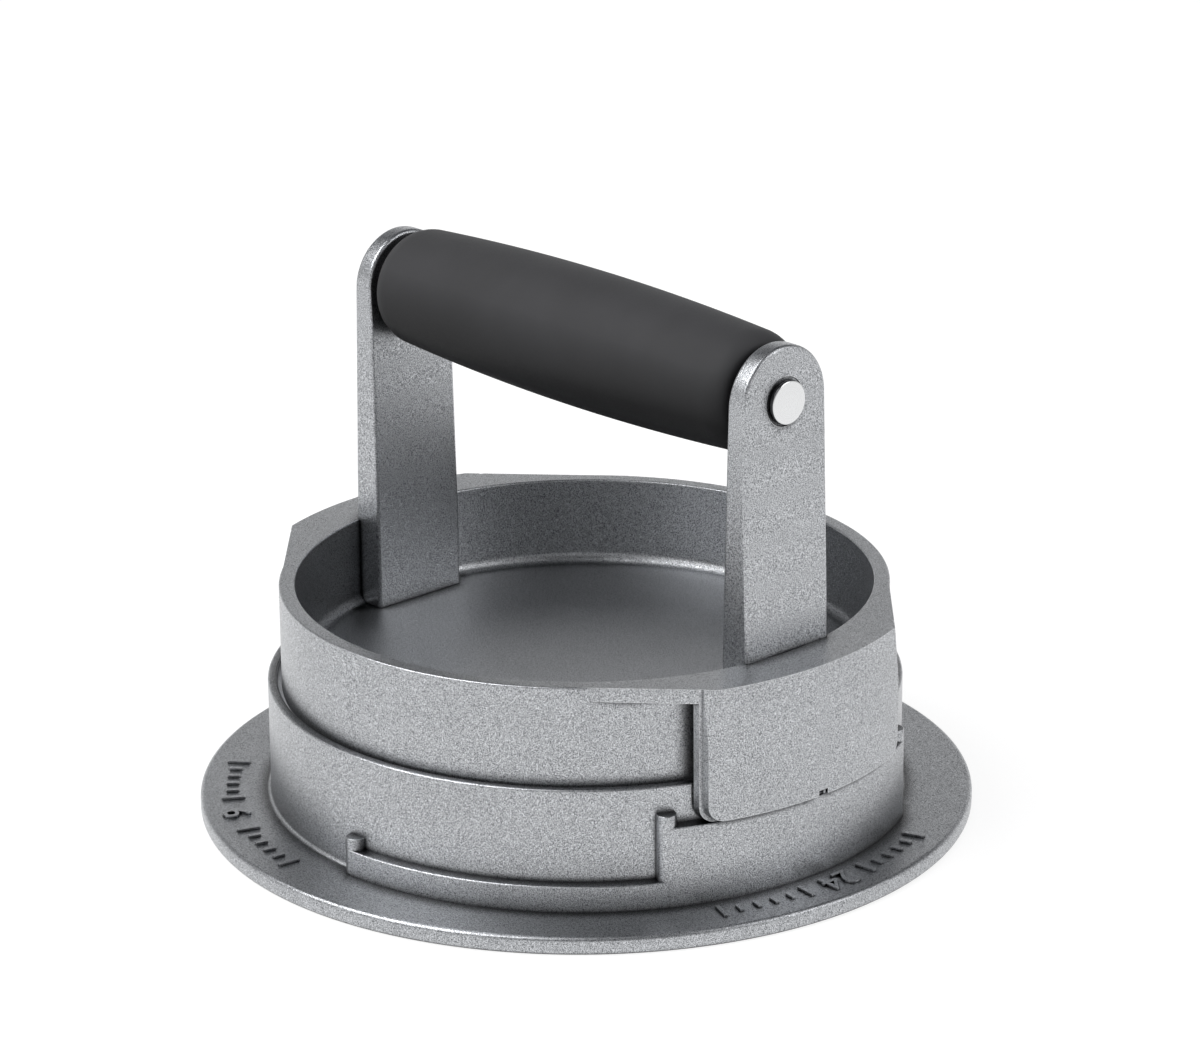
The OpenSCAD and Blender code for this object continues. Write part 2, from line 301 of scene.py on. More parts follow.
def buildOverhang():
    # 1 on upright faces close under a part that hangs over them, and 0 elsewhere; it places a
    # painted shadow there
    tree, given, out = addGroup("overhang", [("Reach", "NodeSocketFloat", overhangMask["reach"])],
                                [("Mask", "NodeSocketFloat")])
    face = addNode(tree, "ShaderNodeNewGeometry").outputs["Normal"]
    upAndOut = addNode(tree, "ShaderNodeVectorMath", operation="ADD")
    tree.links.new(face, upAndOut.inputs[0])
    upAndOut.inputs[1].default_value = (0.0, 0.0, overhangMask["lookUp"])
    aim = addNode(tree, "ShaderNodeVectorMath", operation="NORMALIZE")
    tree.links.new(upAndOut.outputs[0], aim.inputs[0])
    sky = addNode(tree, "ShaderNodeAmbientOcclusion", samples=overhangMask["samples"])
    tree.links.new(aim.outputs[0], sky.inputs["Normal"])
    tree.links.new(given.outputs["Reach"], sky.inputs["Distance"])
    apart = addNode(tree, "ShaderNodeSeparateXYZ")
    tree.links.new(face, apart.inputs[0])
    upright = mapRange(tree, apart.outputs["Z"], overhangMask["slopeNone"],
                       overhangMask["slopeFull"])
    roofShadow = mapRange(tree, sky.outputs["AO"], overhangMask["open"], overhangMask["closed"])
    tree.links.new(math2(tree, "MULTIPLY", upright, roofShadow), out.inputs["Mask"])
    return tree


grainMask = {
    "fine": 2600.0,
    "coarse": 900.0,
    "cloud": 55.0,
    "detail": 2.0,
    "cloudDetail": 3.0,
    "fineRoughness": 0.6,
    "coarseRoughness": 0.55,
    "speckLow": 0.34,
    "speckHigh": 0.66,
    "cloudLow": 0.3,
    "cloudHigh": 0.7,
    "fineShare": 0.85,
    "coarseShare": 0.15,
}


def buildGrain():
    # blasted casting grain: pale and dark specks, their height, and slow cloudy change
    tree, given, out = addGroup("castGrain", [("Fine", "NodeSocketFloat", grainMask["fine"]),
                                              ("Coarse", "NodeSocketFloat", grainMask["coarse"])],
                                [("Speck", "NodeSocketFloat"), ("Height", "NodeSocketFloat"),
                                 ("Cloud", "NodeSocketFloat")])
    coordinates = addNode(tree, "ShaderNodeTexCoord")
    fine = addNode(tree, "ShaderNodeTexNoise", {"Detail": grainMask["detail"],
                                                "Roughness": grainMask["fineRoughness"]})
    coarse = addNode(tree, "ShaderNodeTexNoise", {"Detail": grainMask["detail"],
                                                  "Roughness": grainMask["coarseRoughness"]})
    cloud = addNode(tree, "ShaderNodeTexNoise", {"Scale": grainMask["cloud"],
                                                 "Detail": grainMask["cloudDetail"]})
    for noise, size in ((fine, "Fine"), (coarse, "Coarse")):
        tree.links.new(given.outputs[size], noise.inputs["Scale"])
    for noise in (fine, coarse, cloud):
        tree.links.new(coordinates.outputs["Object"], noise.inputs["Vector"])
    speck = mapRange(tree, fine.outputs["Fac"], grainMask["speckLow"], grainMask["speckHigh"])
    blotch = mapRange(tree, coarse.outputs["Fac"], grainMask["speckLow"], grainMask["speckHigh"])
    mixed = math2(tree, "ADD", math2(tree, "MULTIPLY", speck, grainMask["fineShare"]),
                  math2(tree, "MULTIPLY", blotch, grainMask["coarseShare"]))
    clouded = mapRange(tree, cloud.outputs["Fac"], grainMask["cloudLow"], grainMask["cloudHigh"])
    tree.links.new(mixed, out.inputs["Speck"])
    tree.links.new(mixed, out.inputs["Height"])
    tree.links.new(clouded, out.inputs["Cloud"])
    return tree


edgeWear = buildEdgeWear()
creviceShade = buildCrevice()
overhang = buildOverhang()
castGrain = buildGrain()


def startMaterial(name):
    material = bpy.data.materials.new(name)
    material.use_nodes = True
    tree = material.node_tree
    tree.nodes.clear()
    shader = addNode(tree, "ShaderNodeBsdfPrincipled")
    output = addNode(tree, "ShaderNodeOutputMaterial")
    tree.links.new(shader.outputs[0], output.inputs["Surface"])
    return material, tree, shader


def placeGroup(tree, group, **values):
    node = addNode(tree, "ShaderNodeGroup", node_tree=group)
    for key, value in values.items():
        node.inputs[key].default_value = value
    return node


def mixColour(tree, factor, first, second):
    node = addNode(tree, "ShaderNodeMix", data_type="RGBA")
    for index, value in ((6, first), (7, second)):
        if isinstance(value, tuple):
            node.inputs[index].default_value = (*value, 1)
        else:
            tree.links.new(value, node.inputs[index])
    tree.links.new(factor, node.inputs[0])
    return node.outputs[2]


def darken(tree, colour, level):
    # the colour times a grey level
    shade = addNode(tree, "ShaderNodeCombineColor")
    for channel in range(3):
        tree.links.new(level, shade.inputs[channel])
    product = addNode(tree, "ShaderNodeMix", data_type="RGBA", blend_type="MULTIPLY")
    product.inputs[0].default_value = 1.0
    tree.links.new(colour, product.inputs[6])
    tree.links.new(shade.outputs[0], product.inputs[7])
    return product.outputs[2]


def normalZ(tree):
    # 1 on faces that look up, 0 on upright ones and -1 on those that look down
    apart = addNode(tree, "ShaderNodeSeparateXYZ")
    tree.links.new(addNode(tree, "ShaderNodeNewGeometry").outputs["Normal"], apart.inputs[0])
    return apart.outputs["Z"]


def addBump(tree, shader, height, strength, distance):
    bump = addNode(tree, "ShaderNodeBump", {"Strength": strength, "Distance": distance})
    tree.links.new(height, bump.inputs["Height"])
    tree.links.new(bump.outputs[0], shader.inputs["Normal"])


castLook = {
    "fine": 5200.0,  # noise scales of the grain
    "coarse": 2000.0,
    "dark": (0.09, 0.094, 0.10),
    "pale": (0.74, 0.755, 0.78),
    "cloudDark": 0.93,  # level of the tone in the darker clouds
    # edges worn bright, partly a painted edge highlight: its colour, share, mask radius and breakup
    "wornEdgeHighlight": (0.82, 0.83, 0.84),
    "wear": 0.85,
    "wearRadius": 0.3 * mm,
    "wearBreakup": 1400.0,
    "wearStops": 0.25,  # crevice mask at which the wear ends
    "creviceShade": 0.3,  # level of the tone that the painted shade leaves in inner corners, as with the painted shadow under overhangs and the painted shade on shelves
    "creviceReach": 0.7 * mm,
    "roofShadow": 0.3,
    "roofReach": 1.6 * mm,
    # painted shade on faces that look up beside a wall: its level, its reach and its mask range
    "shelfShade": 0.12,
    "shelfShadeReach": 5 * mm,
    "shelfShadeNone": 0.05,
    "shelfShadeFull": 0.35,
    "slopeNone": 0.75,  # the painted shade starts on faces whose normal rises this much
    "slopeFull": 0.97,
    "roughLow": 0.26,
    "roughHigh": 0.38,
    "roughWorn": 0.25,
    "bump": 0.3,
    "bumpDepth": 0.06 * mm,
}


def castAluminium():
    material, tree, shader = startMaterial("castAluminium")
    shader.inputs["Metallic"].default_value = 1.0
    grain = placeGroup(tree, castGrain, Fine=castLook["fine"], Coarse=castLook["coarse"])
    wear = placeGroup(tree, edgeWear, Radius=castLook["wearRadius"],
                      Breakup=castLook["wearBreakup"])
    # painted shade: inner corners and narrow gaps are darkened
    deep = placeGroup(tree, creviceShade, Reach=castLook["creviceReach"])
    # painted shadow: upright faces under a part that hangs over them are darkened
    roof = placeGroup(tree, overhang, Reach=castLook["roofReach"])
    shelf = placeGroup(tree, creviceShade, Reach=castLook["shelfShadeReach"])
    # painted shade on faces that look up, beside a wall
    facing = mapRange(tree, normalZ(tree), castLook["slopeNone"], castLook["slopeFull"])
    beside = mapRange(tree, shelf.outputs["Mask"], castLook["shelfShadeNone"], castLook["shelfShadeFull"])
    shelfShade = math2(tree, "MULTIPLY", facing, beside)
    level = mapRange(tree, grain.outputs["Cloud"], 0.0, 1.0, castLook["cloudDark"], 1.0)
    # painted shade and shadow: each mask darkens the tone to its level
    for mask, shade in ((deep.outputs["Mask"], "creviceShade"), (roof.outputs["Mask"], "roofShadow"),
                        (shelfShade, "shelfShade")):
        level = math2(tree, "MULTIPLY", level, mapRange(tree, mask, 0.0, 1.0, 1.0, castLook[shade]))
    tone = mixColour(tree, grain.outputs["Speck"], castLook["dark"], castLook["pale"])
    # outer edges are worn bright, partly a painted edge highlight, and inner ones aren't
    outer = mapRange(tree, deep.outputs["Mask"], 0.0, castLook["wearStops"], castLook["wear"], 0.0)
    wornEdgeHighlight = math2(tree, "MULTIPLY", wear.outputs["Mask"], outer, True)
    tree.links.new(mixColour(tree, wornEdgeHighlight, darken(tree, tone, level), castLook["wornEdgeHighlight"]),
                   shader.inputs["Base Color"])
    rough = mapRange(tree, grain.outputs["Speck"], 0.0, 1.0, castLook["roughHigh"],
                     castLook["roughLow"])
    roughMix = addNode(tree, "ShaderNodeMix", data_type="FLOAT")
    tree.links.new(wornEdgeHighlight, roughMix.inputs[0])
    tree.links.new(rough, roughMix.inputs[2])
    roughMix.inputs[3].default_value = castLook["roughWorn"]
    tree.links.new(roughMix.outputs[0], shader.inputs["Roughness"])
    addBump(tree, shader, grain.outputs["Height"], castLook["bump"], castLook["bumpDepth"])
    return material


gripLook = {
    "fine": 4200.0,
    "coarse": 1500.0,
    "wearRadius": 0.6 * mm,
    "wearBreakup": 700.0,
    "low": (0.048, 0.048, 0.050),
    "high": (0.057, 0.057, 0.060),
    "roughLow": 0.52,
    "roughHigh": 0.62,
    "specular": 0.12,
    "rubbed": (0.066, 0.066, 0.07),
    "rubbedShare": 0.25,
    "under": 0.34,  # level of the tone that the painted shade leaves on the underside
    "slopeUnder": -0.35,
    "slopeUpper": 0.5,
    "bump": 0.12,
    "bumpDepth": 0.03 * mm,
}


def charcoalGrip():
    material, tree, shader = startMaterial("charcoalGrip")
    grain = placeGroup(tree, castGrain, Fine=gripLook["fine"], Coarse=gripLook["coarse"])
    wear = placeGroup(tree, edgeWear, Radius=gripLook["wearRadius"],
                      Breakup=gripLook["wearBreakup"])
    tone = mixColour(tree, grain.outputs["Cloud"], gripLook["low"], gripLook["high"])
    rubbed = math2(tree, "MULTIPLY", wear.outputs["Mask"], gripLook["rubbedShare"])
    # painted shade: the underside is darker
    level = mapRange(tree, normalZ(tree), gripLook["slopeUnder"], gripLook["slopeUpper"],
                     gripLook["under"], 1.0)
    tree.links.new(darken(tree, mixColour(tree, rubbed, tone, gripLook["rubbed"]), level),
                   shader.inputs["Base Color"])
    shader.inputs["Specular IOR Level"].default_value = gripLook["specular"]
    rough = mapRange(tree, grain.outputs["Speck"], 0.0, 1.0, gripLook["roughLow"],
                     gripLook["roughHigh"])
    tree.links.new(rough, shader.inputs["Roughness"])
    addBump(tree, shader, grain.outputs["Height"], gripLook["bump"], gripLook["bumpDepth"])
    return material


plasticLook = {"fine": 3000.0, "coarse": 1100.0, "bump": 0.15, "bumpDepth": 0.03 * mm}
coreLook = {"low": (0.012, 0.012, 0.013), "high": (0.02, 0.02, 0.022),
            "roughLow": 0.45, "roughHigh": 0.55}
washerLook = {"low": (0.01, 0.01, 0.011), "high": (0.018, 0.018, 0.02),
              "roughLow": 0.4, "roughHigh": 0.5}


def plainPlastic(name, look):
    material, tree, shader = startMaterial(name)
    grain = placeGroup(tree, castGrain, Fine=plasticLook["fine"], Coarse=plasticLook["coarse"])
    tone = mixColour(tree, grain.outputs["Cloud"], look["low"], look["high"])
    tree.links.new(tone, shader.inputs["Base Color"])
    rough = mapRange(tree, grain.outputs["Speck"], 0.0, 1.0, look["roughLow"], look["roughHigh"])
    tree.links.new(rough, shader.inputs["Roughness"])
    addBump(tree, shader, grain.outputs["Height"], plasticLook["bump"], plasticLook["bumpDepth"])
    return material


pinLook = {
    "rings": 6000.0,
    "detail": 2.0,
    "ringLow": 0.3,
    "ringHigh": 0.7,
    "low": (0.70, 0.705, 0.71),
    "high": (0.77, 0.775, 0.78),
    "flankShade": (0.09, 0.09, 0.095),
    "flankStart": 0.12 * mm,  # in from the head's rim
    "flankFull": 0.04 * mm,
    "roughLow": 0.2,
    "roughHigh": 0.3,
    "bump": 0.08,
    "bumpDepth": 0.01 * mm,
}


def polishedPin():
    # turned rings round the pin's axis, with painted shade on the head's flank, darker than its
    # crown
    material, tree, shader = startMaterial("polishedPin")
    shader.inputs["Metallic"].default_value = 1.0
    coordinates = addNode(tree, "ShaderNodeTexCoord")
    apart = addNode(tree, "ShaderNodeSeparateXYZ")
    tree.links.new(coordinates.outputs["Object"], apart.inputs[0])
    fromAxis = math2(tree, "SUBTRACT", apart.outputs["Z"], pinZ)
    squares = [math2(tree, "MULTIPLY", part, part) for part in (fromAxis, apart.outputs["Y"])]
    radius = math2(tree, "SQRT", math2(tree, "ADD", *squares))
    rings = addNode(tree, "ShaderNodeTexNoise",
                    {"Scale": pinLook["rings"], "Detail": pinLook["detail"]}, noise_dimensions="1D")
    tree.links.new(radius, rings.inputs["W"])
    turned = mapRange(tree, rings.outputs["Fac"], pinLook["ringLow"], pinLook["ringHigh"])
    crown = mixColour(tree, turned, pinLook["low"], pinLook["high"])
    # painted shade on the head's rounded edge and side
    flankShade = mapRange(tree, radius, hardware["headR"] - pinLook["flankStart"],
                     hardware["headR"] - pinLook["flankFull"])
    tree.links.new(mixColour(tree, flankShade, crown, pinLook["flankShade"]), shader.inputs["Base Color"])
    rough = mapRange(tree, turned, 0.0, 1.0, pinLook["roughLow"], pinLook["roughHigh"])
    tree.links.new(rough, shader.inputs["Roughness"])
    addBump(tree, shader, turned, pinLook["bump"], pinLook["bumpDepth"])
    return material


# Mould ring
ring = {
    "boreR": 57.0 * mm,
    "wall": 1.8 * mm,
    "flangeR": ringHigh.x,
    "flangeT": 3.4 * mm,
    "height": ringHigh.z,
    "boreEdge": 0.3 * mm,
    "footFillet": 0.8 * mm,
    "flangeEdge": 0.9 * mm,
    "rimEdge": 0.4 * mm,
    "segments": 288,
}
wallR = ring["boreR"] + ring["wall"]
ledge = {
    "out": 2.4 * mm,
    "low": 8.2 * mm,
    "high": 18.4 * mm,
    "span": math.radians(57.5),
    "lowShort": 0.002,  # how far the low ledge stops short of the high one, in radians
    "edge": 0.3 * mm,
    "postWidth": 3.6 * mm,
    "postRise": 2.2 * mm,
    "postNose": 0.98,  # rounding of the post's front, as a share of its half width
    "postEdge": 0.2 * mm,
    "setIn": 0.04 * mm,  # how far the post's front stands in from the ledge's face
    "sink": 0.5 * mm,
}
marks = {
    "numbers": [(24, 0), (9, math.radians(-118)), (14, math.radians(122.5))],  # each with its angle
    "radius": 66 * mm,
    "size": 7.4 * mm,
    "stroke": 0.7 * mm,
    "raise": 0.5 * mm,
    "sink": 0.3 * mm,
    "curveSteps": 3,
    "ticks": 6,
    "longEvery": 5,
    "tick": 2.2 * mm,
    "longTick": 4.2 * mm,
    "firstTick": math.radians(6.5),
    "pitch": math.radians(3),
}


def ringBody():
    corners = [
        (ring["boreR"], 0, ring["boreEdge"]),
        (ring["flangeR"], 0, ring["flangeEdge"]),
        (ring["flangeR"], ring["flangeT"], ring["flangeEdge"]),
        (wallR, ring["flangeT"], ring["footFillet"]),
        (wallR, ring["height"], ring["rimEdge"]),
        (ring["boreR"], ring["height"], ring["rimEdge"]),
    ]
    return makeObject("mouldRing", spinSolid(roundCorners(corners), ring["segments"]))


def ledgeStep(first, last, top):
    bottom = ring["flangeT"] - ledge["sink"]
    corners = [
        (wallR - ledge["sink"], bottom, 0),
        (wallR + ledge["out"], bottom, 0),
        (wallR + ledge["out"], top, ledge["edge"]),
        (wallR - ledge["sink"], top, 0),
    ]
    angle = last - first
    segments = round(ring["segments"] * angle / turn)
    bm = spinSolid(roundCorners(corners, steps=4), segments, angle, first)
    return makeObject("ledgeStep", bm)


def stopPost(angle, top):
    half = ledge["postWidth"] / 2
    nose = half * ledge["postNose"]
    front = wallR + ledge["out"] - ledge["setIn"]
    back = wallR - ledge["sink"]
    corners = [(back, -half, 0), (front, -half, nose), (front, half, nose), (back, half, 0)]
    bottom = ring["flangeT"] - ledge["sink"]
    bm = slabSolid(roundCorners(corners, steps=10), lambda p: (p[0], p[1], bottom),
                   (0, 0, top - bottom))
    rim = [e for e in bm.edges if all(v.co.z > top - touch for v in e.verts)]
    bmesh.ops.bevel(bm, geom=rim, offset=ledge["postEdge"], affect="EDGES", segments=3,
                    profile=0.5, material=-1, clamp_overlap=True)
    bmesh.ops.rotate(bm, verts=bm.verts, cent=(0, 0, 0), matrix=Matrix.Rotation(angle, 3, "Z"))
    cleanUp(bm)
    return makeObject("stopPost", bm)


def numberMesh(value, angle):
    letters = bpy.data.curves.new("number", "FONT")
    letters.body = str(value)
    letters.size = marks["size"]
    letters.align_x = "CENTER"
    letters.align_y = "CENTER"
    letters.extrude = (marks["raise"] + marks["sink"]) / 2
    letters.resolution_u = marks["curveSteps"]
    shaped = bpy.data.objects.new("number", letters)
    bpy.context.scene.collection.objects.link(shaped)
    mesh = bakedMesh(shaped)
    bpy.data.objects.remove(shaped)
    middle = ring["flangeT"] + (marks["raise"] - marks["sink"]) / 2
    place = Matrix.Translation((marks["radius"], 0, middle))
    facing = Matrix.Rotation(-math.pi / 2, 4, "Z")
    mesh.transform(Matrix.Rotation(angle, 4, "Z") @ place @ facing)
    return mesh


def tickMesh(length, angle):
    inner, outer = marks["radius"] - length / 2, marks["radius"] + length / 2
    half = marks["stroke"] / 2
    bm = boxSolid((inner, -half, ring["flangeT"] - marks["sink"]),
                  (outer, half, ring["flangeT"] + marks["raise"]))
    bmesh.ops.rotate(bm, verts=bm.verts, cent=(0, 0, 0), matrix=Matrix.Rotation(angle, 3, "Z"))
    mesh = bpy.data.meshes.new("tick")
    bm.to_mesh(mesh)
    bm.free()
    return mesh


def ringMarks():
    # how thick each stop makes the patty, in millimetres, as raised numbers between rows of ticks
    solids = bmesh.new()
    for value, angle in marks["numbers"]:
        solids.from_mesh(numberMesh(value, angle))
        for side in (1, -1):
            for i in range(marks["ticks"]):
                length = marks["longTick"] if i % marks["longEvery"] == 0 else marks["tick"]
                at = angle + side * (marks["firstTick"] + marks["pitch"] * i)
                solids.from_mesh(tickMesh(length, at))
    cleanUp(solids)
    return makeObject("ringMarks", solids)


def mouldRing():
    # on each side a low ledge climbs to a high one that is centred on the skirt
    low, high = ledge["low"], ledge["high"]
    solids = []
    for centre in (0, math.pi):
        start, step, end = [centre + share * ledge["span"] for share in (-1.5, -0.5, 0.5)]
        solids.append(ledgeStep(start, step - ledge["lowShort"], low))
        solids.append(ledgeStep(step, end, high))
        for angle, top in ((start, low), (step, high), (end, high)):
            solids.append(stopPost(angle, top + ledge["postRise"]))
    obj = combine(ringBody(), solids + [ringMarks()])
    # the union can leave a sliver open at a numeral
    bm = bmesh.new()
    bm.from_mesh(obj.data)
    closeHoles(bm)
    cleanUp(bm)
    bm.to_mesh(obj.data)
    bm.free()
    return finishPiece(obj, "ring", castMaterial, ["mould_ring"])


# Press casting
plunger = {
    "radius": 56.25 * mm,
    "height": 20 * mm,
    "wall": 3 * mm,
    "plate": 3.2 * mm,
    "edge": 0.5 * mm,
    "rimEdge": 0.35 * mm,
    "panFillet": 2 * mm,
    "ridgeRadii": [17.3 * mm, 32.05 * mm, 46.8 * mm],
    "ridgeHeight": 2.75 * mm,
    "ridgeCrest": 1.5 * mm,
    "ridgeFoot": 5.0 * mm,
    "ridgeRound": 0.55 * mm,
    "footRound": 1.3 * mm,
    "segments": 288,
}
skirt = {
    "innerR": 59.5 * mm,
    "splitR": 60.8 * mm,  # where the inner layer meets the outer one
    "outerR": 62.3 * mm,
    "halfWidth": 62.3 * math.sin(math.radians(22.85)) * mm,
    "bottom": lugLow.z,
    "tab": 2.6 * mm,
    "corner": 3 * mm,
    "edge": 0.22 * mm,
    "step": 0.5 * mm,  # how far the outer layer stops short of the inner one
    "curveSteps": 8,
    "rootIn": 0.4 * mm,  # how deep the tab's root sits in the drum
    "tabShort": 0.02 * mm,  # how far the tab stops short of the inner layer's face
    "tabHalfAngle": math.radians(26),
    "tabSpread": 0.08,  # how much further round the drum its root runs, in radians
    "tabBeyond": 1.5 * mm,  # spare stock past the web's face, cut away after
    "tabAside": 5 * mm,
    "tabSteps": 28,
    "webLean": math.radians(4.5),
    "webProud": 0.05 * mm,  # how far its face stands out from the corner
    "gateWidth": 2.2 * mm,
    "gateHeight": 1 * mm,
    "gateSpare": 1 * mm,
    "stubHeight": 0.95 * mm,
    "stubSetIn": 0.25 * mm,
    "stubSide": (0.25, 0.8),  # from and to, as shares of the gate's half width
    "stubEdge": 0.12 * mm,
    "overlap": 0.1 * mm,
    "strips": 36,
}
arm = {
    "innerFoot": 46.7 * mm,
    "outerFoot": 53.2 * mm,
    "innerPin": 47.9 * mm,
    "outerPin": 52.1 * mm,
    "halfFoot": 10.2 * mm,
    "halfTop": 10.0 * mm,
    "footIn": 0.5 * mm,  # how deep the arm's foot sits in the plate
    "roundSteps": 28,
    "edge": 0.7 * mm,
    "edgeSteps": 4,
    "seatR": 4.5 * mm,
    "seatDepth": 0.25 * mm,
    "seatSpare": 2 * mm,
    "bossR": 7 * mm,
    "bossIn": 1.5 * mm,
    "bossEdge": 0.15 * mm,
}
plateZ = plungerHigh.z - plunger["height"]


def plungerBody():
    high = plungerHigh.z
    corners = [(0, plateZ, 0)]
    foot, crest = plunger["ridgeFoot"] / 2, plunger["ridgeCrest"] / 2
    low = plateZ - plunger["ridgeHeight"]
    for radius in plunger["ridgeRadii"]:
        corners += [
            (radius - foot, plateZ, plunger["footRound"]),
            (radius - crest, low, plunger["ridgeRound"]),
            (radius + crest, low, plunger["ridgeRound"]),
            (radius + foot, plateZ, plunger["footRound"]),
        ]
    panR = plunger["radius"] - plunger["wall"]
    corners += [
        (plunger["radius"], plateZ, plunger["edge"]),
        (plunger["radius"], high, plunger["rimEdge"]),
        (panR, high, plunger["rimEdge"]),
        (panR, plateZ + plunger["plate"], plunger["panFillet"]),
        (0, plateZ + plunger["plate"], 0),
    ]
    return makeObject("pressCasting", spinSolid(roundCorners(corners), plunger["segments"]))


def webPlanes():
    # the web's side leans out on its way down, and runs from the drum to the inner layer's corner
    splitR = skirt["splitR"]
    corner = math.asin(skirt["halfWidth"] / splitR)
    facing = corner + math.acos((plunger["radius"] - skirt["rootIn"]) / splitR)
    level, climb = math.cos(skirt["webLean"]), math.sin(skirt["webLean"])
    planes = []
    for side in (1, -1):
        point = Vector((splitR * math.cos(corner), side * skirt["halfWidth"], plungerHigh.z))
        normal = Vector((level * math.cos(facing), side * level * math.sin(facing), climb))
        planes.append((point + normal * skirt["webProud"], normal))
    return facing, planes


def tabPlate():
    # the flat plate between the drum and the skirt, with stock left on for the webs' faces
    rootR = plunger["radius"] - skirt["rootIn"]
    facing, _ = webPlanes()
    along = Vector((math.cos(facing), math.sin(facing)))
    across = Vector((-along.y, along.x))
    spare = along * (rootR + skirt["tabBeyond"]) + across * skirt["tabAside"]
    outer = arcPoints(skirt["splitR"] - skirt["tabShort"], -skirt["tabHalfAngle"],
                      skirt["tabHalfAngle"], skirt["tabSteps"])
    inner = arcPoints(rootR, facing + skirt["tabSpread"], -facing - skirt["tabSpread"],
                      skirt["tabSteps"])
    outline = outer + [spare] + inner + [Vector((spare.x, -spare.y))]
    return slabSolid(outline, lambda p: (p[0], p[1], plungerHigh.z), (0, 0, -skirt["tab"]))


def skirtLayer(inset, innerR, outerR):
    # a flat plate with round lower corners, cut in strips and wrapped round the Z axis
    halfWidth = skirt["halfWidth"] - inset
    low = skirt["bottom"] + inset
    high = plungerHigh.z
    corners = [(-halfWidth, high, 0), (-halfWidth, low, skirt["corner"]),
               (halfWidth, low, skirt["corner"]), (halfWidth, high, 0)]
    bm = slabSolid(roundCorners(corners, skirt["curveSteps"]), lambda p: (innerR, p[0], p[1]),
                   (outerR - innerR, 0, 0))
    for i in range(1, skirt["strips"]):
        splitAt(bm, (0, halfWidth * (2 * i / skirt["strips"] - 1), 0), (0, 1, 0))
    for vert in bm.verts:
        vert.co.x = math.sqrt(vert.co.x ** 2 - vert.co.y ** 2)
    cleanUp(bm)
    return bm


def boxSolid(low, high, edge=0):
    bm = bmesh.new()
    bmesh.ops.create_cube(bm, size=1)
    for vert in bm.verts:
        vert.co = Vector([low[i] if vert.co[i] < 0 else high[i] for i in range(3)])
    return bevelSharp(bm, edge) if edge else bm


def cutAway(bm, point, normal):
    # takes off what lies beyond a plane and closes the cut
    splitAt(bm, point, normal, clear_outer=True)
    closeHoles(bm)
    cleanUp(bm)


def lugSolid():
    # the casting's parting leaves a thin step round the skirt's edge, and its gate a notch below
    splitR, outerR = skirt["splitR"], skirt["outerR"]
    inner = skirtLayer(0, skirt["innerR"], splitR)
    outer = skirtLayer(skirt["step"], splitR - skirt["overlap"], outerR)
    _, planes = webPlanes()
    solids = []
    for bm in (tabPlate(), inner, outer):
        for point, normal in planes:
            cutAway(bm, point, normal)
        solids.append(makeObject("lug", bm))
    lug = combine(solids[0], solids[1:])
    bm = bmesh.new()
    bm.from_mesh(lug.data)
    cleanUp(bm)
    bevelSharp(bm, skirt["edge"], segments=2, minAngle=18)
    bm.to_mesh(lug.data)
    bm.free()
    half = skirt["gateWidth"] / 2
    roof = skirt["bottom"] + skirt["step"] + skirt["gateHeight"]
    gate = boxSolid((splitR, -half, skirt["bottom"] - skirt["gateSpare"]),
                    (outerR + skirt["gateSpare"], half, roof))
    combine(lug, [makeObject("gate", gate)], "DIFFERENCE")
    near, far = [half * share for share in skirt["stubSide"]]
    stub = boxSolid((splitR - skirt["overlap"], near, roof - skirt["stubHeight"]),
                    (outerR - skirt["stubSetIn"], far, roof + skirt["overlap"]), skirt["stubEdge"])
    return combine(lug, [makeObject("gateStub", stub)])


def armSolid():
    # a round-topped plate that thins from the drum's rim up to the pin
    low = plateZ + plunger["plate"] - arm["footIn"]
    outline = arcPoints(arm["halfTop"], 0, math.pi, arm["roundSteps"], (0, pinZ))
    outline += [Vector((-arm["halfFoot"], low)), Vector((arm["halfFoot"], low))]
    bm = slabSolid(outline, lambda p: (0, p[0], p[1]), (1, 0, 0))
    rimZ = plungerHigh.z
    for vert in bm.verts:
        climb = max(0.0, (vert.co.z - rimZ) / (pinZ - rimZ))
        inner = arm["innerFoot"] + (arm["innerPin"] - arm["innerFoot"]) * climb
        outer = arm["outerFoot"] + (arm["outerPin"] - arm["outerFoot"]) * climb
        vert.co.x = inner + (outer - inner) * vert.co.x
    splitAt(bm, (0, 0, rimZ), (0, 0, 1))
    for vert in bm.verts:
        if abs(vert.co.z - rimZ) < touch:
            side = vert.co.x > (arm["innerFoot"] + arm["outerFoot"]) / 2
            vert.co.x = arm["outerFoot"] if side else arm["innerFoot"]
    return makeObject("arm", bevelSharp(bm, arm["edge"], arm["edgeSteps"]))


def diskAlongX(radius, first, last, edge):
    corners = [(0, first, 0), (radius, first, edge), (radius, last, edge), (0, last, 0)]
    return alongX(spinSolid(roundCorners(corners, steps=4), hardware["segments"]))


def pressCasting():
    body = plungerBody()
    for side in (0, math.pi):
        # a low boss meets the washer inside the arm, and a shallow seat takes the head outside
        boss = diskAlongX(arm["bossR"], arm["innerPin"] - arm["seatDepth"],
                          arm["innerPin"] + arm["bossIn"], arm["bossEdge"])
        solids = [lugSolid(), armSolid(), makeObject("boss", boss)]
        seat = makeObject("seat", diskAlongX(arm["seatR"], arm["outerPin"] - arm["seatDepth"],
                                             arm["outerFoot"] + arm["seatSpare"], 0))
        for obj in solids + [seat]:
            obj.data.transform(Matrix.Rotation(side, 4, "Z"))
        combine(body, solids)
        combine(body, [seat], "DIFFERENCE")
    nodes = ["plunger", "left_lug", "right_lug", "left_arm", "right_arm"]
    return finishPiece(body, "press", castMaterial, nodes)


